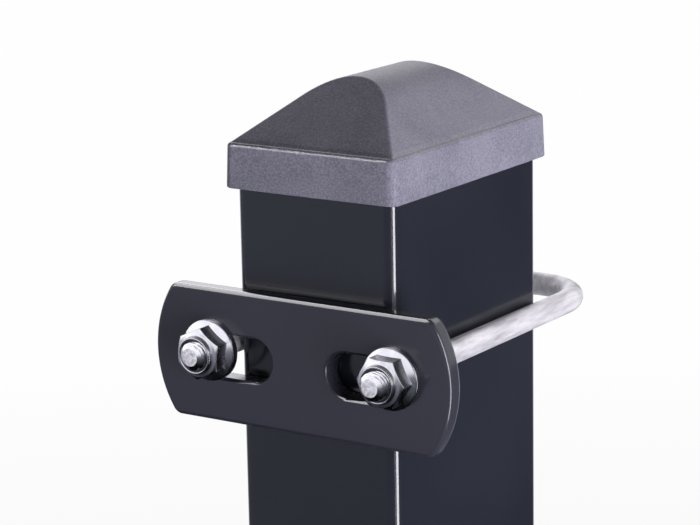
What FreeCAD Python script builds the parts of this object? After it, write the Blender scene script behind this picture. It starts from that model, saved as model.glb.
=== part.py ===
import FreeCAD
import Part
import math
import os
from FreeCAD import Vector

# A fence post of rectangular steel tube with a moulded cap on its top end and
# three clamps down its height. Each clamp is a U-bolt round the back of the
# post, a slotted plate across its front, and two locking flange nuts.
# Millimetres. X runs across the front, Y from front to back, Z up.
# The origin is the middle of the lower end of the tube.

# Tube
post_width = 40.0
post_depth = 60.0
post_length = 1000.0
post_wall = 2.0
post_corner = 3.0
least_inner_corner = 0.3

# Cap
cap_fit = 0.15
cap_side_wall = 1.45
cap_end_wall = 1.65
cap_corner = 2.2
cap_overlap = 8.0
cap_rim_height = 9.8
cap_draft = 0.3
cap_rim_round = 1.0
cap_lower_round = 0.4
cap_roof_height = 12.8
cap_ridge_length = 23.5
cap_crown_radius = 16.0
cap_hip_round = 1.0
cap_roof_wall = 1.8
spigot_fit = 0.2
spigot_wall = 1.6
spigot_length = 18.0
spigot_lead = 2.0
spigot_corner_relief = 0.3
grip_rib_width = 1.2
grip_ribs_per_side = 3
grip_ribs_per_end = 2

# U-bolt
rod_diameter = 5.3
thread_diameter = 6.0
thread_past_plate = 0.5
stud_chamfer = 0.8
leg_fit = 0.35
leg_touch = 0.05
bend_radius = 12.5
panel_thickness = 17.0
panel_fit = 0.35
left_stud_reach = 8.2
right_stud_reach = 9.2

# Clamp plate
plate_height = 29.4
plate_thickness = 5.0
plate_end_radius = 25.0
plate_corner = 2.5
plate_front_round = 1.0
plate_back_round = 2.2
plate_slip = 0.7
slot_height = 9.5
slot_inner_end = 7.0
slot_end_play = 2.0
slot_end_land = 9.5
slot_edge_chamfer = 0.4
bolt_lift = 1.3

# Locking flange nut
nut_across_flats = 10.0
nut_flange_diameter = 13.4
nut_flange_edge = 1.6
nut_flange_round = 0.4
nut_flange_slope = 30.0
nut_hex_top = 5.5
nut_hex_chamfer = 0.5
nut_collar_diameter = 8.2
nut_collar_top = 6.8
nut_collar_round = 0.5
nut_pocket_diameter = 7.0
nut_pocket_floor = 4.6
ring_below_lip = 0.7
left_nut_turn = 24.0
right_nut_turn = 58.0

# Clamps on the post
clamp_count = 3
clamp_spacing = 200.0
top_clamp_drop = 44.1

# How far a cutting shape runs past the face that it opens, and how near is the same place
past_face = 1.0
same_place = 0.01

# Places worked out from the sizes above
bore_width = post_width - 2 * post_wall
bore_depth = post_depth - 2 * post_wall
bore_corner = max(post_corner - post_wall, least_inner_corner)
front = -post_depth / 2
back = post_depth / 2
plate_face = front - plate_thickness
leg_spacing = post_width + rod_diameter + 2 * leg_fit
bolt_shift = leg_touch - leg_fit
plate_shift = bolt_shift - plate_slip
left_leg = bolt_shift - leg_spacing / 2
right_leg = bolt_shift + leg_spacing / 2
crown = back + panel_thickness + panel_fit + rod_diameter / 2
slot_outer_end = leg_spacing / 2 + thread_diameter / 2 + slot_end_play
plate_half_length = slot_outer_end + slot_end_land
cap_bottom = post_length - cap_overlap
nut_half_flats = nut_across_flats / 2
nut_corner_radius = nut_half_flats / math.cos(math.radians(30))


def straight(start, end):
    return Part.LineSegment(start, end).toShape()


def arc(start, middle, end):
    return Part.Arc(start, middle, end).toShape()


def rounded_rectangle(width, depth, radius, level):
    """A closed wire, centred on the post, with round corners."""
    x, y, r = width / 2, depth / 2, radius
    k = r * (1 - math.sqrt(0.5))
    edges = []
    for turn in range(4):
        a, b = (x, y) if turn % 2 == 0 else (y, x)
        side = straight(Vector(a, r - b, 0), Vector(a, b - r, 0))
        bend = arc(Vector(a, b - r, 0), Vector(a - k, b - k, 0), Vector(a - r, b, 0))
        for edge in (side, bend):
            edge.rotate(Vector(0, 0, 0), Vector(0, 0, 1), 90 * turn)
            edge.translate(Vector(0, 0, level))
            edges.append(edge)
    return Part.Wire(Part.__sortEdges__(edges))


def rounded_block(width, depth, radius, low, high):
    face = Part.Face(rounded_rectangle(width, depth, radius, low))
    return face.extrude(Vector(0, 0, high - low))


def cylinder_along_y(radius, x, z, start, end):
    return Part.makeCylinder(radius, end - start, Vector(x, start, z), Vector(0, 1, 0))


def post_tube():
    """One length of hollow section, cut square at both ends."""
    outside = rounded_block(post_width, post_depth, post_corner, 0, post_length)
    inside = rounded_block(bore_width, bore_depth, bore_corner, -past_face, post_length + past_face)
    return outside.cut(inside)


def flank_tilt(half_width, height, crown_radius):
    """The angle from upright, at the crown's centre, to where a flank from the foot touches the crown."""
    centre = height - crown_radius
    return math.atan2(half_width, -centre) - math.acos(crown_radius / math.hypot(half_width, centre))


def vault_face(half_width, height, crown_radius):
    """The arched end view of the roof: a round crown with straight flanks tangent to it."""
    centre = height - crown_radius
    tilt = flank_tilt(half_width, height, crown_radius)
    touch_x = crown_radius * math.sin(tilt)
    touch_z = centre + crown_radius * math.cos(tilt)
    left_foot, right_foot = Vector(-half_width, 0, 0), Vector(half_width, 0, 0)
    left_touch, right_touch = Vector(-touch_x, 0, touch_z), Vector(touch_x, 0, touch_z)
    edges = [
        straight(left_foot, left_touch),
        arc(left_touch, Vector(0, 0, height), right_touch),
        straight(right_touch, right_foot),
        straight(right_foot, left_foot),
    ]
    return Part.Face(Part.Wire(edges))


def hipped_vault(half_width, half_depth, height, ridge_half, crown_radius):
    """A barrel vault along Y whose two ends slope back to the ridge, standing on Z zero."""
    vault = vault_face(half_width, height, crown_radius)
    vault.translate(Vector(0, -half_depth, 0))
    vault = vault.extrude(Vector(0, 2 * half_depth, 0))
    top = height + past_face
    lean = (half_depth - ridge_half) * top / height
    side_view = Part.makePolygon([
        Vector(-half_width, -half_depth, 0),
        Vector(-half_width, lean - half_depth, top),
        Vector(-half_width, half_depth - lean, top),
        Vector(-half_width, half_depth, 0),
        Vector(-half_width, -half_depth, 0),
    ])
    ends = Part.Face(side_view).extrude(Vector(2 * half_width, 0, 0))
    return vault.common(ends)


def hip_edges(roof):
    """The edges where the sloping ends meet the vault: neither on the foot nor along the ridge."""
    found = []
    for edge in roof.Edges:
        box = edge.BoundBox
        on_foot = box.ZMax < same_place
        along_ridge = box.XLength < same_place and box.ZLength < same_place
        if not on_foot and not along_ridge:
            found.append(edge)
    return found


def cap_outside():
    """The rim, slightly drafted for the mould, under a roof with softened hips."""
    width = post_width + 2 * (cap_fit + cap_side_wall)
    depth = post_depth + 2 * (cap_fit + cap_end_wall)
    lower = rounded_rectangle(width, depth, cap_corner, 0)
    upper = rounded_rectangle(width - 2 * cap_draft, depth - 2 * cap_draft, cap_corner, cap_rim_height)
    rim = Part.makeLoft([lower, upper], True, True)
    top_edges = [e for e in rim.Edges if e.BoundBox.ZMin > cap_rim_height - same_place]
    rim = rim.makeFillet(cap_rim_round, top_edges)
    low_edges = [e for e in rim.Edges if e.BoundBox.ZMax < same_place]
    rim = rim.makeFillet(cap_lower_round, low_edges)
    inset = cap_draft + cap_rim_round
    half_width, half_depth = width / 2 - inset, depth / 2 - inset
    roof = hipped_vault(half_width, half_depth, cap_roof_height, cap_ridge_length / 2, cap_crown_radius)
    roof = roof.makeFillet(cap_hip_round, hip_edges(roof))
    roof.translate(Vector(0, 0, cap_rim_height))
    return rim.fuse(roof), half_width, half_depth


def cap_roof_hollow(half_width, half_depth):
    """The space under the roof, the same wall away from the vault and from the sloping ends."""
    run = half_depth - cap_ridge_length / 2
    end_slope = math.atan2(cap_roof_height, run)
    flank_lean = flank_tilt(half_width, cap_roof_height, cap_crown_radius)
    inner_half_width = half_width - cap_roof_wall / math.sin(flank_lean)
    inner_half_depth = half_depth - cap_roof_wall / math.sin(end_slope)
    inner_height = cap_roof_height - cap_roof_wall
    inner_ridge_half = inner_half_depth - inner_height * run / cap_roof_height
    hollow = hipped_vault(inner_half_width, inner_half_depth, inner_height, inner_ridge_half,
                          cap_crown_radius - cap_roof_wall)
    hollow.translate(Vector(0, 0, cap_rim_height))
    return hollow


def grip_ribs(top, bottom):
    """Upright ribs on the spigot that press against the tube's inner faces."""
    ribs = []
    reach = spigot_fit + spigot_wall / 2
    foot = bottom + spigot_lead
    for side in (-1, 1):
        for i in range(grip_ribs_per_side):
            y = bore_depth * ((i + 1) / (grip_ribs_per_side + 1) - 0.5)
            inner = side * bore_width / 2 - (reach if side > 0 else 0)
            corner = Vector(inner, y - grip_rib_width / 2, foot)
            ribs.append(Part.makeBox(reach, grip_rib_width, top - foot, corner))
        for i in range(grip_ribs_per_end):
            x = bore_width * ((i + 1) / (grip_ribs_per_end + 1) - 0.5)
            inner = side * bore_depth / 2 - (reach if side > 0 else 0)
            corner = Vector(x - grip_rib_width / 2, inner, foot)
            ribs.append(Part.makeBox(grip_rib_width, reach, top - foot, corner))
    return ribs


def post_cap():
    """One moulding: it sits over the end of the tube and a ribbed spigot grips inside it."""
    body, half_width, half_depth = cap_outside()
    spigot_width = bore_width - 2 * spigot_fit
    spigot_depth = bore_depth - 2 * spigot_fit
    socket = rounded_block(post_width + 2 * cap_fit, post_depth + 2 * cap_fit,
                           post_corner + cap_fit, -past_face, cap_overlap)
    body = body.cut(socket)
    low = cap_overlap - spigot_length
    spigot_corner = bore_corner + spigot_corner_relief
    spigot = rounded_block(spigot_width, spigot_depth, spigot_corner, low, cap_overlap)
    body = body.fuse([spigot] + grip_ribs(cap_overlap, low))
    well = rounded_block(spigot_width - 2 * spigot_wall, spigot_depth - 2 * spigot_wall,
                         spigot_corner, low - past_face, cap_rim_height)
    body = body.cut(well.fuse(cap_roof_hollow(half_width, half_depth))).removeSplitter()
    body.translate(Vector(0, 0, cap_bottom))
    return body


def plate_outline():
    """The plate seen from the front: straight long edges and bowed ends with eased corners."""
    half_height = plate_height / 2
    bow = plate_end_radius - math.sqrt(plate_end_radius ** 2 - half_height ** 2)
    corner = plate_half_length - bow
    tip = plate_half_length
    upper_left, upper_right = Vector(-corner, 0, half_height), Vector(corner, 0, half_height)
    lower_left, lower_right = Vector(-corner, 0, -half_height), Vector(corner, 0, -half_height)
    edges = [
        straight(upper_left, upper_right),
        arc(upper_right, Vector(tip, 0, 0), lower_right),
        straight(lower_right, lower_left),
        arc(lower_left, Vector(-tip, 0, 0), upper_left),
    ]
    return Part.Face(Part.Wire(edges))


def plate_slot(side):
    """A round-ended slot on one side of the plate's middle."""
    radius = slot_height / 2
    near = slot_inner_end + radius
    far = slot_outer_end - radius
    front, back = -past_face, plate_thickness + past_face
    ends = [cylinder_along_y(radius, side * x, 0, front, back) for x in (near, far)]
    start = near if side > 0 else -far
    middle = Part.makeBox(far - near, back - front, slot_height, Vector(start, front, -radius))
    return ends[0].fuse([ends[1], middle]).removeSplitter()


def front_edges(solid):
    """The edges that lie in the plate's front face."""
    return [e for e in solid.Edges if e.BoundBox.YMax < same_place]


def back_edges(solid):
    """The edges that lie in the plate's back face."""
    return [e for e in solid.Edges if e.BoundBox.YMin > plate_thickness - same_place]


def slot_edges(solid):
    """The edges of the slots in the plate's front and back faces."""
    reach = slot_height / 2 + same_place
    both = front_edges(solid) + back_edges(solid)
    return [e for e in both if -reach < e.BoundBox.ZMin and e.BoundBox.ZMax < reach]


def clamp_plate(height):
    """A flat bar punched to length: the punch rolls its back edge, and two slots take the U-bolt's legs."""
    plate = plate_outline().extrude(Vector(0, plate_thickness, 0))
    corners = [e for e in plate.Edges if e.BoundBox.YLength > plate_thickness - same_place]
    plate = plate.makeFillet(plate_corner, corners)
    plate = plate.makeFillet(plate_front_round, front_edges(plate))
    plate = plate.makeFillet(plate_back_round, back_edges(plate))
    plate = plate.cut(plate_slot(-1).fuse(plate_slot(1)))
    plate = plate.makeChamfer(slot_edge_chamfer, slot_edges(plate))
    plate.translate(Vector(plate_shift, plate_face, height))
    return plate


def threaded_end(x, height, reach):
    """The rolled thread's outer cylinder, with a chamfered tip and a short taper to the rod."""
    tip = plate_face - reach
    end = front + thread_past_plate
    radius = thread_diameter / 2
    neck = radius - rod_diameter / 2
    along = Vector(0, 1, 0)
    point = Part.makeCone(radius - stud_chamfer, radius, stud_chamfer, Vector(x, tip, height), along)
    stud = cylinder_along_y(radius, x, height, tip + stud_chamfer, end)
    taper = Part.makeCone(radius, rod_diameter / 2, neck, Vector(x, end, height), along)
    return [point, stud, taper], end


def u_bolt(height):
    """A round rod bent twice, so that it passes the post on both sides and crosses behind it."""
    left_ends, left_start = threaded_end(left_leg, height, left_stud_reach)
    right_ends, right_start = threaded_end(right_leg, height, right_stud_reach)
    r = bend_radius
    k = r * (1 - math.sqrt(0.5))
    bend_start = crown - r
    points = [
        Vector(left_leg, left_start, height),
        Vector(left_leg, bend_start, height),
        Vector(left_leg + k, crown - k, height),
        Vector(left_leg + r, crown, height),
        Vector(right_leg - r, crown, height),
        Vector(right_leg - k, crown - k, height),
        Vector(right_leg, bend_start, height),
        Vector(right_leg, right_start, height),
    ]
    path = Part.Wire([
        straight(points[0], points[1]),
        arc(points[1], points[2], points[3]),
        straight(points[3], points[4]),
        arc(points[4], points[5], points[6]),
        straight(points[6], points[7]),
    ])
    section = Part.Wire(Part.makeCircle(rod_diameter / 2, points[0], Vector(0, 1, 0)))
    rod = path.makePipeShell([section], True, False)
    return rod.fuse(left_ends + right_ends).removeSplitter()


def turned(edges):
    """The solid that a half section sweeps out round the nut's axis."""
    return Part.Face(Part.Wire(edges)).revolve(Vector(0, 0, 0), Vector(0, 1, 0), 360)


def nut_flange():
    """The wide foot, whose gently sloping top rises to the flats."""
    rim, bore, r = nut_flange_diameter / 2, thread_diameter / 2, nut_flange_round
    k = r * (1 - math.sqrt(0.5))
    slope_run = rim - r - nut_half_flats
    top = nut_flange_edge + slope_run * math.tan(math.radians(nut_flange_slope))
    round_low = Vector(rim, nut_flange_edge - r, 0)
    round_top = Vector(rim - r, nut_flange_edge, 0)
    points = [
        round_top,
        Vector(nut_half_flats, top, 0),
        Vector(bore, top, 0),
        Vector(bore, 0, 0),
        Vector(rim, 0, 0),
        round_low,
    ]
    edges = [straight(a, b) for a, b in zip(points, points[1:])]
    edges.append(arc(round_low, Vector(rim - k, nut_flange_edge - k, 0), round_top))
    return turned(edges)


def nut_body():
    """The hexagon with its chamfered corners, and the collar with the pocket for the locking ring."""
    bore, collar, pocket = thread_diameter / 2, nut_collar_diameter / 2, nut_pocket_diameter / 2
    r = nut_collar_round
    k = r * (1 - math.sqrt(0.5))
    round_low = Vector(collar, nut_collar_top - r, 0)
    round_top = Vector(collar - r, nut_collar_top, 0)
    points = [
        round_top,
        Vector(pocket, nut_collar_top, 0),
        Vector(pocket, nut_pocket_floor, 0),
        Vector(bore, nut_pocket_floor, 0),
        Vector(bore, 0, 0),
        Vector(nut_corner_radius, 0, 0),
        Vector(nut_corner_radius, nut_hex_top - nut_hex_chamfer / 2, 0),
        Vector(nut_corner_radius - nut_hex_chamfer, nut_hex_top, 0),
        Vector(collar, nut_hex_top, 0),
        round_low,
    ]
    edges = [straight(a, b) for a, b in zip(points, points[1:])]
    edges.append(arc(round_low, Vector(collar - k, nut_collar_top - k, 0), round_top))
    return turned(edges).common(hexagon())


def hexagon():
    """A prism as wide as the nut across its flats and taller than its collar."""
    angles = [math.radians(60 * i) for i in range(7)]
    points = [Vector(nut_corner_radius * math.cos(a), 0, nut_corner_radius * math.sin(a)) for a in angles]
    return Part.Face(Part.makePolygon(points)).extrude(Vector(0, nut_collar_top + past_face, 0))


def seat_on_plate(solid, x, height, turn):
    """Turns a nut or ring to face the front and sets it on the plate round one leg."""
    solid.rotate(Vector(0, 0, 0), Vector(1, 0, 0), 180)
    solid.rotate(Vector(0, 0, 0), Vector(0, 1, 0), -turn)
    solid.translate(Vector(x, plate_face, height))
    return solid


def flange_nut(x, height, turn):
    """A hexagon nut with a wide flange and a collar that holds the locking ring."""
    nut = nut_flange().fuse(nut_body()).removeSplitter()
    return seat_on_plate(nut, x, height, turn)


def lock_ring(x, height):
    """The soft ring pressed into the nut's collar, which grips the thread."""
    low, high = nut_pocket_floor, nut_collar_top - ring_below_lip
    outer = cylinder_along_y(nut_pocket_diameter / 2, 0, 0, low, high)
    inner = cylinder_along_y(thread_diameter / 2, 0, 0, low - past_face, high + past_face)
    return seat_on_plate(outer.cut(inner), x, height, 0)


def clamp_nodes(number, height):
    """The six pieces of one clamp, by name."""
    bolt = height + bolt_lift
    return {
        f"clamp_plate_{number}": clamp_plate(height),
        f"u_bolt_{number}": u_bolt(bolt),
        f"flange_nut_left_{number}": flange_nut(left_leg, bolt, left_nut_turn),
        f"flange_nut_right_{number}": flange_nut(right_leg, bolt, right_nut_turn),
        f"lock_ring_left_{number}": lock_ring(left_leg, bolt),
        f"lock_ring_right_{number}": lock_ring(right_leg, bolt),
    }


def fence_post():
    nodes = {"post_tube": post_tube(), "post_cap": post_cap()}
    for i in range(clamp_count):
        height = post_length - top_clamp_drop - i * clamp_spacing
        nodes.update(clamp_nodes(i + 1, height))
    return nodes


os.makedirs("parts", exist_ok=True)
for name, shape in fence_post().items():
    shape.exportStep(f"parts/{name}.step")
    print(name, "valid" if shape.isValid() else "NOT VALID", "solids", len(shape.Solids),
          "volume", round(shape.Volume, 1))
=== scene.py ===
# %% [markdown]
# # A steel fence post with a plastic cap and its clamps
# This post is a rectangular tube with a dark powder coat. A grained plastic cap
# is pushed on its top end, and three clamps reach round it. Each clamp is a bent
# stainless rod, a slotted plate and two locking nuts.
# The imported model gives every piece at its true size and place. Here each one
# gets the mesh and the finish that the real one has, without being moved.

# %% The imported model
import math

import bpy
from mathutils import Matrix, Vector


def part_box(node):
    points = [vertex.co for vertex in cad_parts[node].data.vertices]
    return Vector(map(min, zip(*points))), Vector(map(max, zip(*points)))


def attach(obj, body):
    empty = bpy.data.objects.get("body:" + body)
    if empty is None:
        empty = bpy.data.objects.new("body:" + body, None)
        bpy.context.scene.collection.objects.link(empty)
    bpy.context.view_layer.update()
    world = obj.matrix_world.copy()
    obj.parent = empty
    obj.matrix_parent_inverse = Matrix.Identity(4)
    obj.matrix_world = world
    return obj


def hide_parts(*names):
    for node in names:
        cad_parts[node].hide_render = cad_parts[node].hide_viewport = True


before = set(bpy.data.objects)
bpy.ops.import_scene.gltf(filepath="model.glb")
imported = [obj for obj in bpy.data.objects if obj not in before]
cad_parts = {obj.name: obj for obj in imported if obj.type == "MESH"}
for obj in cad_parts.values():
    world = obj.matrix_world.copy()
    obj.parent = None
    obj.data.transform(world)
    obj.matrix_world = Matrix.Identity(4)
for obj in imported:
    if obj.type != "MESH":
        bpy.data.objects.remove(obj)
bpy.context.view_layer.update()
millimetre = 0.001
print("pieces in the model:", len(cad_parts))

# %% [markdown]
# ## Sums that draw nodes
# A material or a Geometry Nodes tree is a drawing of boxes and wires. Sums are
# easier to read as sums, so a wire is wrapped in a small class. Adding or
# multiplying two wires adds the Math node, and every other node comes from one
# method of the tree.

# %% The wire and the tree
class Wire:
    """The output of a node, which can be used in sums such as 1 - mask * 0.5."""

    def __init__(self, tree, node, socket):
        self.tree, self.node, self.socket = tree, node, socket

    def out(self, name):
        return Wire(self.tree, self.node, self.node.outputs[name])

    def sum_node(self, operation, *values):
        return self.tree.node("ShaderNodeMath", {"operation": operation}, dict(enumerate(values)))

    def __add__(self, other):
        return self.sum_node("ADD", self, other)

    def __sub__(self, other):
        return self.sum_node("SUBTRACT", self, other)

    def __rsub__(self, other):
        return self.sum_node("SUBTRACT", other, self)

    def __mul__(self, other):
        return self.sum_node("MULTIPLY", self, other)

    def __truediv__(self, other):
        return self.sum_node("DIVIDE", self, other)

    def least(self, other):
        return self.sum_node("MINIMUM", self, other)

    def most(self, other):
        return self.sum_node("MAXIMUM", self, other)

    def between(self, low, high):
        """0 below low, 1 above high and a straight rise between them."""
        return ((self - low) / (high - low)).most(0.0).least(1.0)

    def spread(self, low, high):
        """Stretches 0 to 1 into low to high."""
        return low + self * (high - low)

    def alone(self, operation):
        """An operation on this value only, such as FLOOR or COSINE."""
        return self.sum_node(operation, self)

    __radd__, __rmul__ = __add__, __mul__


class Tree:
    """A node tree. node() adds any node: its settings come first, then its inputs."""

    def __init__(self, tree):
        self.tree = tree

    def node(self, kind, settings=None, inputs=None, out=None):
        made = self.tree.nodes.new(kind)
        for name, value in (settings or {}).items():
            setattr(made, name, value)
        for name, value in (inputs or {}).items():
            self.fill(self.socket(made, name), value)
        shown = [s for s in made.outputs if s.enabled]
        first = shown[0] if shown else None
        return Wire(self, made, made.outputs[out] if out else first)

    def socket(self, made, name):
        if isinstance(name, int):
            return made.inputs[name]
        return next(s for s in made.inputs if s.name == name and s.enabled)

    def fill(self, socket, value):
        if isinstance(value, Wire):
            self.tree.links.new(value.socket, socket)
        else:
            socket.default_value = value


def empty_tree(owner):
    """The node tree of a material or a world, with nothing in it yet."""
    owner.use_nodes = True
    owner.node_tree.nodes.clear()
    return Tree(owner.node_tree)


def vector_node(tree, operation, *values, out=None):
    """A Vector Math node on some values, in the order of its sockets."""
    return tree.node("ShaderNodeVectorMath", {"operation": operation}, dict(enumerate(values)), out)


def part_of(tree, vector, axis):
    """One of a vector's three numbers."""
    return tree.node("ShaderNodeSeparateXYZ", None, {0: vector}, out=axis)


def screen_colour(red, green, blue):
    """Turns a colour that is read off a screen, 0 to 255, into light by the sRGB curve."""
    parts = [c / 255 for c in (red, green, blue)]
    return tuple(c / 12.92 if c < 0.04045 else ((c + 0.055) / 1.055) ** 2.4 for c in parts) + (1.0,)


print("dark grey of 45 on screen is", round(screen_colour(45, 45, 45)[0], 4), "of white light")

# %% [markdown]
# ## The finishes
# There are five kinds: the powder coat, the galvanised steel inside the tube, the
# grained plastic of the cap, bright stainless steel and the nylon of the locking
# rings. Each pattern reads Object coordinates. Every piece keeps its object at
# the origin, so those are the same metres as the model's own.

# %% How a finish is made
def new_finish(name, constants):
    """A material with one Principled shader, whose plain numbers are set on its own sockets."""
    material = bpy.data.materials.new(name)
    tree = empty_tree(material)
    shader = tree.node("ShaderNodeBsdfPrincipled", None, constants)
    tree.node("ShaderNodeOutputMaterial", None, {"Surface": shader})
    place = tree.node("ShaderNodeTexCoord", out="Object")
    return material, tree, shader.node.inputs, place


def noise(tree, place, per_metre, detail=2.0, roughness=0.5):
    inputs = {"Vector": place, "Scale": per_metre, "Detail": detail, "Roughness": roughness}
    return tree.node("ShaderNodeTexNoise", None, inputs, out="Fac")


def mix_colours(tree, factor, first, second):
    inputs = {"Factor": factor, "A": first, "B": second}
    return tree.node("ShaderNodeMix", {"data_type": "RGBA"}, inputs)


def bump(tree, height, depth, strength):
    """Relief of a given depth in metres, from a height of 0 to 1."""
    return tree.node("ShaderNodeBump", None, {"Height": height, "Distance": depth, "Strength": strength})


print("a finish is one Principled shader, fed by noise at a stated number of cells to the metre")

# %% [markdown]
# ### Powder coat
# The powder melts into a skin about 0.08 mm thick. It is smooth and fairly
# glossy, with the faint waviness that is called orange peel, cells a few
# millimetres across. Here and there a speck stands up from it. The colour hardly
# varies, so the relief and the gloss do the work. The plates come from another
# batch, a little lighter than the post.

# %% Powder coat
peel_depth = 0.012 * millimetre
speck_height = 0.5


def powder_coat(name, dark, light):
    material, tree, sockets, place = new_finish(name, {"IOR": 1.5})
    cloud = noise(tree, place, per_metre=18.0).between(0.3, 0.7)
    colour = mix_colours(tree, cloud, screen_colour(*dark), screen_colour(*light))
    tree.fill(sockets["Base Color"], colour)
    smear = noise(tree, place, per_metre=60.0, detail=3.0)
    tree.fill(sockets["Roughness"], smear.spread(0.13, 0.20))
    peel = noise(tree, place, per_metre=380.0, detail=1.5)
    speck = noise(tree, place, per_metre=1300.0, detail=1.0).between(0.74, 0.8)
    relief = bump(tree, peel + speck * speck_height, peel_depth, strength=0.5)
    tree.fill(sockets["Normal"], relief)
    return material


print("orange peel and specks, millimetres deep:", round(peel_depth / millimetre, 3))

# %% [markdown]
# ### Galvanised steel
# The strip is zinc coated before it is rolled into a tube, and the powder only
# reaches the outside. Zinc freezes in flat crystals, which show as patches of
# slightly different grey. A Voronoi pattern has such patches.

# %% Galvanised steel
crystals_per_metre = 140.0


def galvanised():
    material, tree, sockets, place = new_finish("galvanised_steel", {"Metallic": 1.0})
    cells = {"Vector": place, "Scale": crystals_per_metre}
    crystals = tree.node("ShaderNodeTexVoronoi", None, cells, out="Color")
    patch = tree.node("ShaderNodeRGBToBW", None, {"Color": crystals})
    colour = mix_colours(tree, patch, screen_colour(146, 149, 152), screen_colour(186, 189, 192))
    tree.fill(sockets["Base Color"], colour)
    tree.fill(sockets["Roughness"], patch.spread(0.38, 0.54))
    return material


print("zinc crystals, millimetres across:", round(1 / crystals_per_metre / millimetre, 1))

# %% [markdown]
# ### Grained plastic
# The mould of the cap was etched, so the plastic has a fine sand-like grain,
# about 0.4 mm across, and a soft sheen. Two sizes of noise make the grain. A
# much larger one gives the cloudy patches where the plastic flowed and met. The
# rim's upper edge is rubbed smoother by hands, so it takes a brighter line.

# %% Grained plastic
roof_height = 12.8 * millimetre
rim_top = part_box("post_cap")[1].z - roof_height
rubbed_band, rubbed_end = 0.5 * millimetre, 1.0 * millimetre
grain_depth = 0.14 * millimetre
cloud_share, fine_share = 0.38, 0.6


def cap_plastic():
    material, tree, sockets, place = new_finish("cap_plastic", {"IOR": 1.48, "Specular IOR Level": 0.28})
    cloud = noise(tree, place, per_metre=75.0, detail=4.0, roughness=0.6).between(0.34, 0.66)
    grain = noise(tree, place, per_metre=2300.0, detail=3.0, roughness=0.6)
    shade = cloud * cloud_share + grain.between(0.38, 0.62) * (1 - cloud_share)
    colour = mix_colours(tree, shade, screen_colour(92, 91, 105), screen_colour(136, 134, 148))
    tree.fill(sockets["Base Color"], colour)
    from_edge = (part_of(tree, place, "Z") - rim_top).alone("ABSOLUTE")
    rubbed = 1 - from_edge.between(rubbed_band, rubbed_end)
    tree.fill(sockets["Roughness"], grain.spread(0.36, 0.50) * rubbed.spread(1.0, 0.5))
    coarse = noise(tree, place, per_metre=950.0)
    relief = bump(tree, grain * fine_share + coarse * (1 - fine_share), grain_depth, strength=0.8)
    tree.fill(sockets["Normal"], relief)
    return material


print("the rim's upper edge is", round(rim_top, 4), "m above the lower end")

# %% [markdown]
# ### Stainless steel
# The rod is drawn through a die and pickled, which leaves it pale and matte with
# long soft streaks and darker patches. The nuts and the threads are pressed and
# rolled bright, and the ends of the rod are sawn. All are the same steel. The
# roughness tells them apart, and the matte ones count as only partly metallic.
# The streaks are a noise that is stretched along the rod, which lies along Y.

# %% Stainless steel
scratch_depth = 0.012 * millimetre
wear_roughness = 0.14


def stainless(name, light, dark, least_roughness, streaks=1.0, metallic=1.0, patches_per_metre=170.0):
    """Streaks of 1 aren't stretched, and smaller values stretch them along the rod."""
    material, tree, sockets, place = new_finish(name, {"Metallic": metallic})
    stretch = {"Vector": place, "Scale": (1.0, streaks, 1.0)}
    drawn = tree.node("ShaderNodeMapping", None, stretch)
    wear = noise(tree, drawn, per_metre=700.0, detail=3.0)
    soil = noise(tree, drawn, patches_per_metre, detail=4.0, roughness=0.6).between(0.38, 0.66)
    colour = mix_colours(tree, soil, screen_colour(*light), screen_colour(*dark))
    tree.fill(sockets["Base Color"], colour)
    tree.fill(sockets["Roughness"], least_roughness + wear * wear_roughness)
    relief = bump(tree, wear, scratch_depth, strength=0.5)
    tree.fill(sockets["Normal"], relief)
    return material


matte_rod = {"least_roughness": 0.48, "streaks": 0.16, "metallic": 0.45, "patches_per_metre": 420.0}
sawn_end = {"least_roughness": 0.60, "metallic": 0.6, "patches_per_metre": 1300.0}
bright = {"least_roughness": 0.18}
print("roughness of rod, sawn end and nut:", [s["least_roughness"] for s in (matte_rod, sawn_end, bright)])

# %% [markdown]
# ### Nylon
# The ring in each nut's collar is soft grey nylon. It is a little see-through in
# life, and at this size a smooth grey with a dull gloss is what shows.

# %% Nylon
smears_per_metre = 500.0


def nylon():
    material, tree, sockets, place = new_finish("nylon", {"IOR": 1.52})
    smear = noise(tree, place, smears_per_metre)
    colour = mix_colours(tree, smear, screen_colour(84, 86, 92), screen_colour(104, 106, 112))
    tree.fill(sockets["Base Color"], colour)
    tree.fill(sockets["Roughness"], smear.spread(0.38, 0.53))
    return material


print("smears on the nylon, millimetres across:", round(1 / smears_per_metre / millimetre, 1))

# %% [markdown]
# ### All the finishes
# Each finish is made once. The coats and the steels are given the two colours
# between which they vary, and the steels how rough and how metallic they are.

# %% All the finishes
finishes = {
    "post_coat": powder_coat("post_coat", (25, 27, 36), (33, 35, 44)),
    "plate_coat": powder_coat("plate_coat", (38, 39, 49), (48, 49, 58)),
    "galvanised_steel": galvanised(),
    "cap_plastic": cap_plastic(),
    "rod_steel": stainless("rod_steel", (238, 236, 240), (184, 182, 188), **matte_rod),
    "nut_steel": stainless("nut_steel", (206, 206, 212), (188, 188, 195), **bright),
    "sawn_steel": stainless("sawn_steel", (246, 245, 250), (186, 185, 192), **sawn_end),
    "thread_steel": stainless("thread_steel", (214, 213, 219), (196, 195, 202), **bright),
    "nylon": nylon(),
}
print("finishes:", ", ".join(finishes))

# %% [markdown]
# ## Pieces that the model already shapes
# The tube, the cap and the plates have their true form in the model. Its mesh is
# loose triangles, though, and light breaks along their edges. A merged copy is
# shaded smoothly instead, and weighted normals let the rounded edges carry the
# shine.

# %% Opening a mesh for editing
import bmesh

merge_distance = 0.001 * millimetre


def edit_mesh(mesh, *steps):
    """Opens a mesh, runs each step on it and writes it back."""
    shape = bmesh.new()
    shape.from_mesh(mesh)
    for step in steps:
        step(shape)
    shape.to_mesh(mesh)
    shape.free()


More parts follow.
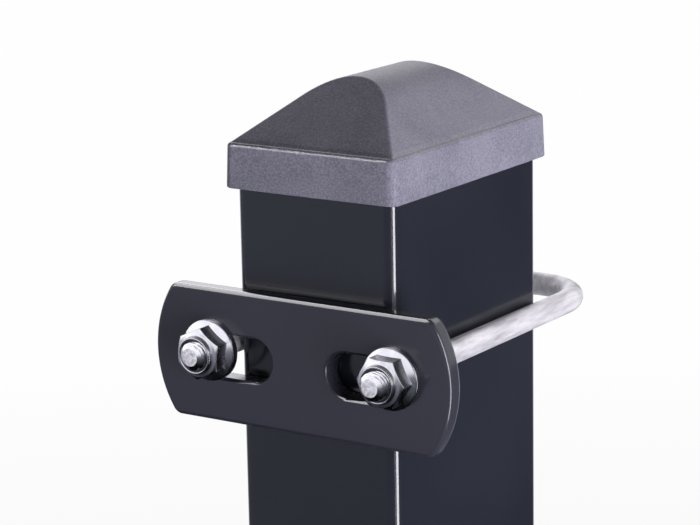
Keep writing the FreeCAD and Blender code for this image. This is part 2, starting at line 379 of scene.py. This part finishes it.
def merge_points(shape):
    bmesh.ops.remove_doubles(shape, verts=shape.verts, dist=merge_distance)


def drop_slivers(shape):
    bmesh.ops.dissolve_degenerate(shape, edges=shape.edges, dist=merge_distance / 10)


def face_outwards(shape):
    bmesh.ops.recalc_face_normals(shape, faces=shape.faces)


print("points that are joined lie within", merge_distance, "m of each other")

# %% Objects and their shading
def plain_mesh(obj, name):
    """The mesh that an object shows, modifiers included, as a new object with none."""
    bpy.context.view_layer.update()
    shown = obj.evaluated_get(bpy.context.evaluated_depsgraph_get())
    mesh = bpy.data.meshes.new_from_object(shown)
    mesh.name = name
    bpy.data.objects.remove(obj)
    made = bpy.data.objects.new(name, mesh)
    bpy.context.scene.collection.objects.link(made)
    return made


def object_of(mesh):
    made = bpy.data.objects.new(mesh.name, mesh)
    bpy.context.scene.collection.objects.link(made)
    return made


def smooth(mesh, sharpest):
    """Smooth shading, with a crease wherever two faces meet at more than the stated angle."""
    mesh.polygons.foreach_set("use_smooth", [True] * len(mesh.polygons))
    mesh.set_sharp_from_angle(angle=math.radians(sharpest))


def shade(obj, sharpest, name):
    """Smooth shading whose normals lean to the larger faces, kept in a plain mesh."""
    smooth(obj.data, sharpest)
    weighted = obj.modifiers.new("weighted normals", "WEIGHTED_NORMAL")
    weighted.mode = "FACE_AREA"
    weighted.weight = 100
    weighted.keep_sharp = True
    return plain_mesh(obj, name)


# %% [markdown]
# Weighted normals still leave long wedges of shade on wide faces, and gloss
# shows them. So a corner beside one much larger flat takes that flat's own
# normal. Faces that share a plane count as one flat.

# %% Flats that stay flat
model_crease = 35
plane_step = 0.02 * millimetre
direction_digits = 3
much_larger = 4.0


def keep_flats_flat(mesh):
    """A corner beside one much larger flat takes that flat's own normal, so that gloss shows no bulge."""
    areas, beside = {}, {}
    for face in mesh.polygons:
        distance = face.normal.dot(face.center) / plane_step
        plane = (*(round(part, direction_digits) for part in face.normal), round(distance))
        areas[plane] = areas.get(plane, 0.0) + face.area
        for vertex in face.vertices:
            beside.setdefault(vertex, {})[plane] = face.normal.copy()
    normals = [corner.vector.copy() for corner in mesh.corner_normals]
    limit = math.cos(math.radians(model_crease))
    for face in mesh.polygons:
        for corner, vertex in zip(face.loop_indices, face.vertices):
            near = [p for p, normal in beside[vertex].items() if normal.dot(face.normal) > limit]
            near.sort(key=areas.get)
            if len(near) == 1 or areas[near[-1]] > areas[near[-2]] * much_larger:
                normals[corner] = beside[vertex][near[-1]]
    mesh.normals_split_custom_set(normals)
    print("flats and facets:", len(areas))


print("the copies crease at more than", model_crease, "degrees")

# %% [markdown]
# A piece starts as a merged copy or as a mesh of its own. Once finished, it gets
# its finish, belongs to the post's one body, and says which of the model's
# pieces it stands for.

# %% Merged copies and their places
def merged_copy(node, name, *changes):
    """A copy of a model's piece whose triangles are joined, then changed and shaded."""
    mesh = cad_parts[node].data.copy()
    mesh.materials.clear()
    edit_mesh(mesh, merge_points, drop_slivers, *changes)
    made = shade(object_of(mesh), model_crease, name)
    keep_flats_flat(made.data)
    return made


def settle(piece, finish, slot, *nodes):
    """Gives a finished piece its material and its place among the model's nodes."""
    piece.data.materials.clear()
    piece.data.materials.append(finishes[finish])
    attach(piece, "root")
    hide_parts(*nodes)
    count = sum(len(p.vertices) - 2 for p in piece.data.polygons)
    print(piece.name, "stands for", ", ".join(nodes), "with", count, "triangles")


print("finishes to hand out:", len(finishes))

# %% [markdown]
# ### The tube
# It is one length of hollow section. The outside carries the powder coat. The
# inner faces are bare zinc, so they take a second material: they are the faces
# that lie nearer the middle than the wall.

# %% The tube
tube_low, tube_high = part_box("post_tube")
wall = 2.0 * millimetre
within_wall = wall * 0.75
zinc_index = 1
tube = merged_copy("post_tube", "tube")
settle(tube, "post_coat", "powder_coat", "post_tube")
tube.data.materials.append(finishes["galvanised_steel"])
zinc_x, zinc_y = tube_high.x - within_wall, tube_high.y - within_wall
inner_faces = [f for f in tube.data.polygons if abs(f.center.x) < zinc_x and abs(f.center.y) < zinc_y]
for face in inner_faces:
    face.material_index = zinc_index
print("tube", [round(s / millimetre, 1) for s in tube_high - tube_low], "mm, bare faces:", len(inner_faces))

# %% [markdown]
# ### The cap
# The cap is one moulding, with a drafted rim, a vaulted roof and a ribbed plug
# inside the tube. The model holds all of it, so it only needs its shading and
# its grain.

# %% The cap
cap = merged_copy("post_cap", "cap")
settle(cap, "cap_plastic", "cap_plastic", "post_cap")

# %% [markdown]
# ## What repeats down the post
# The three clamps are alike, 200 mm apart. One of each piece is made, for the
# top clamp, and a Geometry Nodes tree sets the others below it: a line of points
# with a piece on each. Realize Instances turns them into real mesh at the end.

# %% A tree that repeats a piece downwards
clamp_numbers = sorted(int(n.split("_")[-1]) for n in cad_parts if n.startswith("clamp_plate"))
clamp_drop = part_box("clamp_plate_1")[0].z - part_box("clamp_plate_2")[0].z


def new_tree(name, sizes):
    """An empty Geometry Nodes tree with a named input for each size."""
    group = bpy.data.node_groups.new(name, "GeometryNodeTree")
    group.interface.new_socket("Geometry", in_out="INPUT", socket_type="NodeSocketGeometry")
    for label, kind in sizes.items():
        group.interface.new_socket(label, in_out="INPUT", socket_type=kind)
    group.interface.new_socket("Geometry", in_out="OUTPUT", socket_type="NodeSocketGeometry")
    tree = Tree(group)
    return group, tree, tree.node("NodeGroupInput")


def end_tree(tree, given, geometry):
    """Every tree ends the same way: real mesh, with its material."""
    real = tree.node("GeometryNodeRealizeInstances", None, {"Geometry": geometry})
    paint = {"Geometry": real, "Material": given.out("Finish")}
    painted = tree.node("GeometryNodeSetMaterial", None, paint)
    tree.node("NodeGroupOutput", None, {"Geometry": painted})


def run_tree(obj, group, sizes, name):
    """Runs a tree on an object, with its inputs set by their identifiers, and keeps the mesh."""
    modifier = obj.modifiers.new(group.name, "NODES")
    modifier.node_group = group
    for item in group.interface.items_tree:
        if item.in_out == "INPUT" and item.name in sizes:
            modifier[item.identifier] = sizes[item.name]
    return plain_mesh(obj, name)


def tree_down_the_post():
    sizes = {"Count": "NodeSocketInt", "Drop": "NodeSocketFloat", "Finish": "NodeSocketMaterial"}
    group, tree, given = new_tree("down the post", sizes)
    step = tree.node("ShaderNodeCombineXYZ", None, {"Z": given.out("Drop") * -1.0})
    places = {"Count": given.out("Count"), "Offset": step}
    line = tree.node("GeometryNodeMeshLine", {"mode": "OFFSET"}, places)
    pieces = {"Points": line, "Instance": given.out("Geometry")}
    end_tree(tree, given, tree.node("GeometryNodeInstanceOnPoints", None, pieces))
    return group


down_the_post = tree_down_the_post()


def repeat_down(master, finish, slot, node_stem):
    """The top clamp's piece and its copies below it, as one mesh that stands for all their nodes."""
    name = master.name
    sizes = {"Count": len(clamp_numbers), "Drop": clamp_drop, "Finish": finishes[finish]}
    pieces = run_tree(master, down_the_post, sizes, name + "s")
    settle(pieces, finish, slot, *[f"{node_stem}_{n}" for n in clamp_numbers])
    return pieces


print("clamps:", len(clamp_numbers), "every", round(clamp_drop / millimetre, 1), "mm")

# %% [markdown]
# ### The plates
# Each plate is a flat bar with bowed ends and two slots, coated like the post.
# The copy of the model's top plate is the master. The photograph shows a broader
# chamfer round the slots than the model has, so the copy's is widened a little.

# %% The plates
slot_easing = 0.25 * millimetre
plate_margin = 6.0 * millimetre
touching = 0.01 * millimetre
least_slope, most_slope = 0.6, 0.8


def on_slot_chamfer(face, low, high):
    """Tells whether a face slopes at about 45 degrees, well inside the plate's outline."""
    middle = face.calc_center_median()
    in_width = low.x + plate_margin < middle.x < high.x - plate_margin
    in_height = low.z + plate_margin < middle.z < high.z - plate_margin
    return in_width and in_height and least_slope < abs(face.normal.y) < most_slope


def ease_slots(shape):
    """Widens the chamfer round each slot: its outer edge moves outwards, and its inner edge deeper."""
    low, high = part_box("clamp_plate_1")
    shape.normal_update()
    moves = {}
    for face in shape.faces:
        if not on_slot_chamfer(face, low, high):
            continue
        normal = face.normal
        surface = low.y if normal.y < 0 else high.y
        for corner in face.verts:
            outer = abs(corner.co.y - surface) < touching
            step = Vector((-normal.x, 0, -normal.z)) if outer else Vector((0, -normal.y, 0))
            moves[corner] = moves.get(corner, Vector()) + step
    for corner, step in moves.items():
        corner.co += step.normalized() * slot_easing
    print("slot corners moved:", len(moves))


plate = merged_copy("clamp_plate_1", "clamp_plate", ease_slots)
repeat_down(plate, "plate_coat", "powder_coat", "clamp_plate")

# %% [markdown]
# ### The U-bolts
# A thread could be a spring-shaped tool cut out of a rod, which is slow and
# ragged. A rolled thread is better seen as a rule: at each place along the rod,
# and at each angle round it, the rule gives the radius. So the middle line of the
# rod is drawn as a row of stations, close together where the thread is. The tree
# turns it into a tube, one ring to a station, and asks the rule for every point.

# %% The middle line of a U-bolt
bolt_low, bolt_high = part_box("u_bolt_1")
thread_radius = 3.0 * millimetre
rod_radius = 2.65 * millimetre
bend_radius = 12.5 * millimetre
left_stud_shorter = 1.0 * millimetre
thread_length = 13.0 * millimetre
thread_pitch = 1.0 * millimetre
turn_stations = 12
bend_stations = 24
tip_depth = 0.03 * millimetre


def stations_of_thread():
    """Distances from the tip of a stud: two close ones for the flat end, then even ones."""
    step = thread_pitch / turn_stations
    count = round(thread_length / step)
    return [0.0, tip_depth / 2, tip_depth] + [i * step for i in range(1, count + 1)]


def bend(centre_x, centre_y, start, end):
    turns = [start + (end - start) * i / bend_stations for i in range(bend_stations + 1)]
    return [(centre_x + bend_radius * math.cos(a), centre_y + bend_radius * math.sin(a)) for a in turns]


def middle_line():
    left, right = bolt_low.x + thread_radius, bolt_high.x - thread_radius
    crown = bolt_high.y - rod_radius
    bend_y = crown - bend_radius
    left_tip, right_tip = bolt_low.y + left_stud_shorter, bolt_low.y
    points = [(left, left_tip + s) for s in stations_of_thread()]
    points += bend(left + bend_radius, bend_y, math.pi, math.pi / 2)
    points += bend(right - bend_radius, bend_y, math.pi / 2, 0.0)
    points += [(right, right_tip + s) for s in reversed(stations_of_thread())]
    height = (bolt_low.z + bolt_high.z) / 2
    mesh = bpy.data.meshes.new("middle line")
    edges = [(i, i + 1) for i in range(len(points) - 1)]
    mesh.from_pydata([(x, y, height) for x, y in points], edges, [])
    return object_of(mesh)


print("stations on one thread:", len(stations_of_thread()))

# %% [markdown]
# The rule for the radius has three parts, and the smallest wins at each point.
# The first is the thread, a wave whose phase is the distance along the rod less
# the angle round it, which makes a right-hand helix. Past the thread's end the
# wave fades to the plain rod, and the start and end of that are counted in
# pitches before the thread's end. The second part is the chamfer at the tip, and
# the third closes the flat end.

# %% The rule for the radius
root_radius = 2.42 * millimetre
tip_radius = 1.95 * millimetre
chamfer_slope = 1.5
root_ends, crest_starts = 0.22, 0.86
fade_start, fade_end = 1.6, 0.1


def thread_rule(given, along, whole, angle):
    """The radius of the rod at a distance along it and an angle round it."""
    outer, root, rod = given.out("Thread Radius"), given.out("Root Radius"), given.out("Rod Radius")
    pitch, end, tip = given.out("Pitch"), given.out("Thread Length"), given.out("Tip Radius")
    from_tip = along.least(whole - along)
    turns = along / pitch - angle / (2 * math.pi)
    half = turns.alone("FRACT") - 0.5
    crest = half.alone("ABSOLUTE") * 2.0
    thread = root + (outer - root) * crest.between(root_ends, crest_starts)
    fade = from_tip.between(end - pitch * fade_start, end - pitch * fade_end)
    body = thread + (rod - thread) * fade
    chamfer = tip + (from_tip - tip_depth) * chamfer_slope
    flat = from_tip / tip_depth * tip
    return body.least(chamfer).least(flat)


print("thread depth:", round((thread_radius - root_radius) / millimetre, 2), "mm")

# %% [markdown]
# The tree lays a flat grid with one row of points for each station. A point's
# row tells which station it belongs to, and its place in the row gives the angle
# round the rod. Each point then moves out from the station by the rule's radius.

# %% A tree that makes the threaded rod
ring_points = 44
upwards = (0.0, 0.0, 1.0)
rounding_guard = 0.001


def scaled(tree, vector, factor):
    return tree.node("ShaderNodeVectorMath", {"operation": "SCALE"}, {"Vector": vector, "Scale": factor})


def grid_of_rings(tree, line):
    """A grid with a row for each station, and the row and the angle of each of its points."""
    curve = {"component": "CURVE"}
    stations = tree.node("GeometryNodeAttributeDomainSize", curve, {"Geometry": line}, out="Point Count")
    grid_size = {"Size X": 1.0, "Size Y": 1.0, "Vertices X": stations, "Vertices Y": ring_points + 1}
    grid = tree.node("GeometryNodeMeshGrid", None, grid_size, out="Mesh")
    index = tree.node("GeometryNodeInputIndex")
    row = (index / (ring_points + 1.0) + rounding_guard).alone("FLOOR")
    angle = (index - row * (ring_points + 1.0)) * (2 * math.pi / ring_points)
    return grid, row, angle


def tree_threaded_rod():
    labels = ["Rod Radius", "Thread Radius", "Root Radius", "Tip Radius", "Thread Length", "Pitch"]
    sizes = dict.fromkeys(labels, "NodeSocketFloat")
    group, tree, given = new_tree("threaded rod", sizes | {"Finish": "NodeSocketMaterial"})
    line = tree.node("GeometryNodeMeshToCurve", None, {"Mesh": given.out("Geometry")})
    grid, row, angle = grid_of_rings(tree, line)

    def at_station(kind, value):
        inputs = {"Geometry": line, "Value": value, "Index": row}
        return tree.node("GeometryNodeSampleIndex", {"data_type": kind, "domain": "POINT"}, inputs)

    along = at_station("FLOAT", tree.node("GeometryNodeSplineParameter", out="Length"))
    centre = at_station("FLOAT_VECTOR", tree.node("GeometryNodeInputPosition"))
    ahead = at_station("FLOAT_VECTOR", tree.node("GeometryNodeInputTangent"))
    whole = tree.node("GeometryNodeCurveLength", None, {"Curve": line})
    radius = thread_rule(given, along, whole, angle)
    aside = vector_node(tree, "CROSS_PRODUCT", upwards, ahead)
    reach = scaled(tree, aside, radius * angle.alone("COSINE"))
    rise = scaled(tree, upwards, radius * angle.alone("SINE"))
    place = vector_node(tree, "ADD", centre, vector_node(tree, "ADD", reach, rise))
    skin = tree.node("GeometryNodeSetPosition", None, {"Geometry": grid, "Position": place})
    seam = {"Geometry": skin, "Distance": merge_distance}
    end_tree(tree, given, tree.node("GeometryNodeMergeByDistance", None, seam))
    return group


print("points in a ring of the rod:", ring_points)

# %% [markdown]
# The rod is matte, its threads are bright and its ends are saw cuts. In front of
# the plate a face takes the bright steel, or the sawn one where it faces the
# front squarely.

# %% The U-bolts
rod_crease = 38
sawn_index, thread_index = 1, 2
facing_front = -0.95


def u_bolt_master():
    sizes = {
        "Rod Radius": rod_radius, "Thread Radius": thread_radius, "Root Radius": root_radius,
        "Tip Radius": tip_radius, "Thread Length": thread_length, "Pitch": thread_pitch,
        "Finish": finishes["rod_steel"],
    }
    rod = run_tree(middle_line(), tree_threaded_rod(), sizes, "u_bolt")
    edit_mesh(rod.data, face_outwards)
    smooth(rod.data, rod_crease)
    return rod


u_bolts = repeat_down(u_bolt_master(), "rod_steel", "stainless", "u_bolt")
u_bolts.data.materials.append(finishes["sawn_steel"])
u_bolts.data.materials.append(finishes["thread_steel"])
plate_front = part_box("clamp_plate_1")[0].y
for face in u_bolts.data.polygons:
    if face.center.y < plate_front:
        face.material_index = sawn_index if face.normal.y < facing_front else thread_index
print("sawn faces:", sum(f.material_index == sawn_index for f in u_bolts.data.polygons))

# %% [markdown]
# ### The nuts and their rings
# A nut is turned and pressed: seen from its axis, every angle has its own half
# section. The section's body ends at the flat or the corner of the hexagon, so
# it is drawn once for each angle and the points are joined in rings. Each corner
# of the section gets a small rounding, because no pressed edge is a knife edge.

# %% Sections with rounded corners
largest_share = 0.45


def rounded_section(corners, steps):
    """Points along a section given as (radius, height, rounding) corners, none rounded over half a side."""
    points = [Vector(corners[0][:2])]
    for before, corner, after in zip(corners, corners[1:], corners[2:]):
        here = Vector(corner[:2])
        to_before, to_after = Vector(before[:2]) - here, Vector(after[:2]) - here
        reach = min(corner[2], to_before.length * largest_share, to_after.length * largest_share)
        start, end = here + to_before.normalized() * reach, here + to_after.normalized() * reach
        for i in range(steps + 1):
            t = i / steps
            points.append(start * (1 - t) ** 2 + here * 2 * t * (1 - t) + end * t ** 2)
    points.append(Vector(corners[-1][:2]))
    return points


def turned_mesh(name, angles, section_at):
    """Joins the sections at all angles into one closed skin round the Y axis, facing the front."""
    sections = [section_at(a) for a in angles]
    rows = len(sections[0])
    points = [(p.x * math.cos(a), -p.y, p.x * math.sin(a)) for a, s in zip(angles, sections) for p in s]
    faces = []
    for i in range(len(angles)):
        first, second = i * rows, (i + 1) % len(angles) * rows
        for j in range(rows):
            k = (j + 1) % rows
            faces.append((first + j, first + k, second + k, second + j))
    mesh = bpy.data.meshes.new(name)
    mesh.from_pydata(points, [], faces)
    edit_mesh(mesh, merge_points, face_outwards)
    return mesh


square = [(1, 0, 0), (1, 1, 0.2), (0, 1, 0)]
print("a square corner rounded in four steps:", len(rounded_section(square, 4)), "points")

# %% [markdown]
# The hexagon's corners are worked out too. Near a corner, the radius follows a
# small circle instead of running to the sharp point, and the angles are closer
# together there.

# %% The nut's hexagon
half_flats = 5.0 * millimetre
corner_rounding = 0.14 * millimetre


def hexagon_radius(angle):
    """How far the side of the hexagon is from the axis, at an angle from the middle of a flat."""
    sixth = math.pi / 3
    turn = (angle + sixth / 2) % sixth - sixth / 2
    flat = half_flats / math.cos(turn)
    centre = (half_flats - corner_rounding) / math.cos(sixth / 2)
    away = abs(abs(turn) - sixth / 2)
    inside = corner_rounding ** 2 - (centre * math.sin(away)) ** 2
    if inside <= 0:
        return flat
    return min(flat, centre * math.cos(away) + math.sqrt(inside))


def nut_angles():
    """Angles round the nut, closer together at the six corners."""
    shares = [0.0, 0.18, 0.36, 0.54, 0.70, 0.82, 0.88, 0.92, 0.95, 0.975, 1.0]
    half = [s * math.pi / 6 for s in shares]
    one = [-a for a in reversed(half[1:])] + half[:-1]
    return [k * math.pi / 3 + a for k in range(6) for a in one]


print("sections round a nut:", len(nut_angles()))

# %% [markdown]
# The sections are drawn in millimetres, from the face that rests on the plate.
# The nut's goes round the flange, up the sloping foot and the flat, over the
# chamfer, the domed top and the collar, and down into the pocket for the ring.

# %% The sections of a nut and of its ring
bore = 3.02
flange_radius, flange_edge = 6.7, 1.6
foot_radius, foot_slope = 6.3, 30.0
chamfer_radius, chamfer_height, chamfer_fall = 5.1, 5.38, 0.55
collar_radius, collar_height = 4.1, 6.8
pocket_radius, pocket_floor = 3.5, 4.6
ring_inner, ring_middle, ring_top = 3.0, 5.3, 6.1
corner_steps = 3


def in_metres(corners):
    return [tuple(size * millimetre for size in corner) for corner in corners]


def nut_section(angle):
    """The half section of a nut at one angle."""
    side = hexagon_radius(angle) / millimetre
    foot = flange_edge + (foot_radius - side) * math.tan(math.radians(foot_slope))
    side_top = chamfer_height - max(side - chamfer_radius, 0.0) * chamfer_fall
    flange = [(bore, 0.0, 0.0), (flange_radius, 0.0, 0.12), (flange_radius, flange_edge, 0.3)]
    body = [(side, foot, 0.12), (side, side_top, 0.1), (4.95, 5.48, 0.1), (4.15, 5.66, 0.1)]
    collar = [(collar_radius, 5.8, 0.1), (4.08, 6.5, 0.3), (3.9, collar_height, 0.25), (3.62, 6.76, 0.2)]
    pocket = [(pocket_radius, 6.4, 0.2), (pocket_radius, pocket_floor, 0.1), (bore, pocket_floor, 0.0)]
    return rounded_section(in_metres(flange + body + collar + pocket), corner_steps)


def ring_section(angle):
    """The half section of a ring, which is the same at every angle."""
    start = (ring_inner, ring_middle, 0.0)
    top = [(ring_inner, ring_top, 0.2), (pocket_radius, ring_top, 0.15)]
    bottom = [(pocket_radius, pocket_floor, 0.1), (ring_inner, pocket_floor, 0.1)]
    return rounded_section(in_metres([start, *top, *bottom, start]), corner_steps)


print("points in a nut's section:", len(nut_section(0.0)), "and in a ring's:", len(ring_section(0.0)))

# %% [markdown]
# A nut stops wherever it is tight, so the two of a clamp stand at different
# angles. Each angle says how far one corner has turned up from the right.

# %% The nuts and rings in their places
corner_turns = {"left": 24.0, "right": 58.0}
flat_to_corner = 30.0
nut_crease = 28
ring_sides = 64


def seat(mesh, nut_node, turn):
    """Turns a nut or ring about its axis and sets it where the model's nut is."""
    low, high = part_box(nut_node)
    place = Matrix.Translation(((low.x + high.x) / 2, high.y, (low.z + high.z) / 2))
    mesh.transform(place @ Matrix.Rotation(-math.radians(turn), 4, "Y"))
    return shade(object_of(mesh), nut_crease, mesh.name)


ring_angles = [i * 2 * math.pi / ring_sides for i in range(ring_sides)]
for side_name, turn in corner_turns.items():
    nut_stem, ring_stem = f"flange_nut_{side_name}", f"lock_ring_{side_name}"
    nut = turned_mesh(f"nut_{side_name}", nut_angles(), nut_section)
    nut = seat(nut, nut_stem + "_1", turn + flat_to_corner)
    repeat_down(nut, "nut_steel", "stainless", nut_stem)
    ring = turned_mesh(ring_stem, ring_angles, ring_section)
    ring = seat(ring, nut_stem + "_1", 0)
    repeat_down(ring, "nylon", "nylon", ring_stem)

# %% [markdown]
# ## The stage
# The photograph has a white background, and one strong soft light. How bright
# the sides of the cap are tells where it stands: the right side gets more than
# twice the light of the front, so it is nearly 70 degrees round to the right.
# The sloping front gets half of what the upright rim gets, so it is no higher
# than the cap. The floor and the world are white to the camera, and their
# reflections are dark where the photograph's are.

# %% What the camera sees and what is mirrored
backdrop_way = (-0.553, 0.833, 0.0)
backdrop_edge = (0.6, 0.85)


def rays(tree):
    """1 for rays from the camera, and 1 for rays that a surface mirrors or lets through."""
    camera_ray = tree.node("ShaderNodeLightPath", out="Is Camera Ray")
    return camera_ray, camera_ray.out("Is Glossy Ray").most(camera_ray.out("Is Transmission Ray"))


def towards_backdrop(tree, direction):
    """1 where a direction runs straight away from the camera, and 0 well to the side of that."""
    facing = vector_node(tree, "DOT_PRODUCT", direction, backdrop_way, out="Value")
    return facing.between(*backdrop_edge)


print("the backdrop lies towards", backdrop_way)

# %% Floor
floor_reach = 30.0
floor_paint = (0.82, 0.82, 0.83, 1)
white, mirrored_tint = (1, 1, 1, 1), (0.90, 0.95, 1.12, 1)
white_close, white_far = 0.8, 0.99
bright_front, bright_behind, bright_right = 0.56, 0.12, 0.16
away_range, behind_range, right_range = (0.8, 3.5), (-1.0, 1.0), (-1.8, 1.2)


def floor_finish():
    """White to the camera. A reflection sees it dark close by, grey in front and white far behind."""
    material = bpy.data.materials.new("pale floor")
    tree = empty_tree(material)
    place = tree.node("ShaderNodeTexCoord", out="Object")
    camera_ray, mirrored = rays(tree)
    away = vector_node(tree, "LENGTH", place, out="Value").between(*away_range)
    behind = part_of(tree, place, "Y").between(*behind_range)
    right = part_of(tree, place, "X").between(*right_range)
    backdrop = towards_backdrop(tree, vector_node(tree, "NORMALIZE", place))
    front = bright_front - behind * (bright_front - bright_behind)
    front = front - right * (1 - behind) * (bright_front - bright_right)
    strength = camera_ray + (1 - camera_ray) * away * front.most(backdrop)
    matte = tree.node("ShaderNodeBsdfDiffuse", None, {"Color": floor_paint})
    tint = mix_colours(tree, mirrored, white, mirrored_tint)
    glow = tree.node("ShaderNodeEmission", None, {"Color": tint, "Strength": strength})
    share = (camera_ray * away.spread(white_close, white_far)).most(mirrored)
    mixed = tree.node("ShaderNodeMixShader", None, {"Fac": share, 1: matte, 2: glow})
    tree.node("ShaderNodeOutputMaterial", None, {"Surface": mixed})
    return material


def pale_floor():
    corners = [(x * floor_reach, y * floor_reach, 0) for x, y in [(-1, -1), (1, -1), (1, 1), (-1, 1)]]
    mesh = bpy.data.meshes.new("floor")
    mesh.from_pydata(corners, [], [(0, 1, 2, 3)])
    mesh.materials.append(floor_finish())
    floor = object_of(mesh)


pale_floor()
print("the floor reaches", floor_reach, "m each way")

# %% [markdown]
# The world stands for the studio round the post. Reflections see it white, but
# dim overhead and behind. Matte surfaces get only a little of its light, so that
# the lamps do the shading.

# %% World
weak_light = 0.10
dimming = 0.85
front_lean = 0.5
overhead_range = (0.3, 0.7)


def white_world():
    """White to the camera. Reflections see it dim overhead and behind, and the rest gets a weak light."""
    world = bpy.data.worlds.new("white studio")
    bpy.context.scene.world = world
    tree = empty_tree(world)
    camera_ray, mirrored = rays(tree)
    direction = tree.node("ShaderNodeTexCoord", out="Generated")
    up = part_of(tree, direction, "Z")
    overhead = (up - up.out("Y") * front_lean).between(*overhead_range)
    dimmed = overhead.most(towards_backdrop(tree, direction)) * dimming
    strength = weak_light + camera_ray.most(mirrored * (1 - dimmed)) * (1 - weak_light)
    light = tree.node("ShaderNodeBackground", None, {"Color": white, "Strength": strength})
    tree.node("ShaderNodeOutputWorld", None, {"Surface": light})


white_world()
print("the world lights matte surfaces with", weak_light, "of full white")

# %% [markdown]
# A soft lamp is a large rectangle that looks at the top of the post, where the
# photograph was taken. Each one names the pieces that it is for, so that one
# surface can be tuned without the next.

# %% A lamp that looks at the top of the post
below_top = 30.0 * millimetre
aim = Vector((0.0, 0.0, tube_high.z - below_top))
lamp_colour = (0.985, 0.970, 1.02)


def outwards(azimuth, elevation):
    """The direction to a lamp or the camera. Azimuth 0 is in front, and a quarter turn on is the right."""
    level = math.cos(elevation)
    return Vector((math.sin(azimuth) * level, -math.cos(azimuth) * level, math.sin(elevation)))


def soft_lamp(name, azimuth, elevation, distance, width, height, power, pieces):
    """A large lamp that only the named pieces get, with its angles in degrees and its sizes in metres."""
    lamp = bpy.data.lights.new(name, "AREA")
    lamp.shape = "RECTANGLE"
    lamp.size, lamp.size_y = width, height
    lamp.energy = power
    lamp.color = lamp_colour
    obj = bpy.data.objects.new(name, lamp)
    way = outwards(math.radians(azimuth), math.radians(elevation))
    obj.location = aim + way * distance
    obj.rotation_euler = way.to_track_quat("Z", "Y").to_euler()
    obj.visible_camera = False
    bpy.context.scene.collection.objects.link(obj)
    group = bpy.data.collections.new("lit by " + name)
    for piece in pieces:
        group.objects.link(bpy.data.objects[piece])
    obj.light_linking.receiver_collection = group
    return obj


print("the lamps aim at", [round(v, 3) for v in aim])

# %% [markdown]
# Three lamps light the scene: the key lamp, a fill lamp for the back, and one over
# the floor for the post's shadow. Glossy edges also need something bright to
# mirror, where it should add no light of its own. In a studio a white card stands
# there. Here a card is a lamp that only the named pieces mirror. A narrow strip
# draws the line on the post's corner. It isn't hidden from the corner by the
# plates, since the photographed line runs down to the plate.

# %% Lamps and cards
nuts_and_rods = ["nut_lefts", "nut_rights", "u_bolts"]
all_pieces = nuts_and_rods + ["tube", "cap", "clamp_plates", "lock_ring_lefts", "lock_ring_rights"]

# A row holds the name, azimuth, elevation, distance, width, height, power and pieces.
lamps = [
    ("key lamp", 68.5, -10, 1.6, 0.7, 1.7, 48.0, all_pieces),
    ("back fill lamp", -128, -4, 1.7, 1.0, 1.7, 52.0, all_pieces),
    ("floor lamp", 60, 60, 2.4, 1.2, 1.2, 130.0, ["floor"]),
]
cards = [
    ("post strip", 68, -5, 1.5, 0.32, 1.7, 44.0, ["tube"]),
    ("plate strip", 66, -5, 1.4, 0.4, 1.7, 29.0, ["clamp_plates"]),
    ("plate front card", -50, 44, 1.7, 1.6, 1.8, 80.0, ["clamp_plates"]),
    ("plate top card", -122, 50, 1.7, 1.4, 1.4, 33.0, ["clamp_plates"]),
    ("cap rim card", -46, 28, 1.75, 0.45, 1.3, 52.0, ["cap"]),
    ("left card", -55, 24, 1.8, 2.0, 1.6, 13.0, nuts_and_rods),
    ("right card", 4, 24, 1.8, 1.8, 1.6, 11.7, nuts_and_rods),
    ("back left card", -140, 26, 1.8, 1.1, 1.2, 9.0, all_pieces),
    ("back card", 165, 42, 2.0, 2.0, 1.0, 9.5, all_pieces),
]
for row in lamps:
    soft_lamp(*row).visible_glossy = False
for row in cards:
    soft_lamp(*row).visible_diffuse = False

post_strip = bpy.data.objects["post strip"].light_linking
post_strip.blocker_collection = post_strip.receiver_collection

# %% [markdown]
# ## The camera
# The photograph was taken from the right of the front and a little above, from
# about 57 cm. The camera's place is given as that direction and distance from a
# point near the cap, and the small roll is the photograph's own.

# %% Camera
photo_width, sensor_width = 700, 36.0
camera_azimuth, camera_elevation, camera_roll = 33.63, 13.28, -1.07
camera_distance = 572.8 * millimetre
aim_right, aim_up = -8.93 * millimetre, -19.66 * millimetre
focal_pixels = 2637.6
cap_overlap = 8.0 * millimetre


def photo_camera():
    a, e, r = (math.radians(v) for v in (camera_azimuth, camera_elevation, camera_roll))
    back = outwards(a, e)
    right = Vector((math.cos(a), math.sin(a), 0.0))
    up = back.cross(right)
    cap_edge = Vector((0, 0, tube_high.z - cap_overlap))
    place = cap_edge + right * aim_right + up * aim_up + back * camera_distance
    rolled_right = math.cos(r) * right + math.sin(r) * up
    rolled_up = -math.sin(r) * right + math.cos(r) * up
    turned = Matrix((rolled_right, rolled_up, back)).transposed().to_4x4()
    camera = bpy.data.objects.new("camera", bpy.data.cameras.new("camera"))
    camera.data.sensor_width = sensor_width
    camera.data.lens = focal_pixels / photo_width * sensor_width
    camera.data.clip_start, camera.data.clip_end = 0.01, 100.0
    camera.matrix_world = Matrix.Translation(place) @ turned
    bpy.context.scene.collection.objects.link(camera)
    bpy.context.scene.camera = camera
    print("camera at", [round(v, 3) for v in place], "lens", round(camera.data.lens, 1), "mm")


photo_camera()
bpy.context.scene.view_settings.view_transform = "Standard"
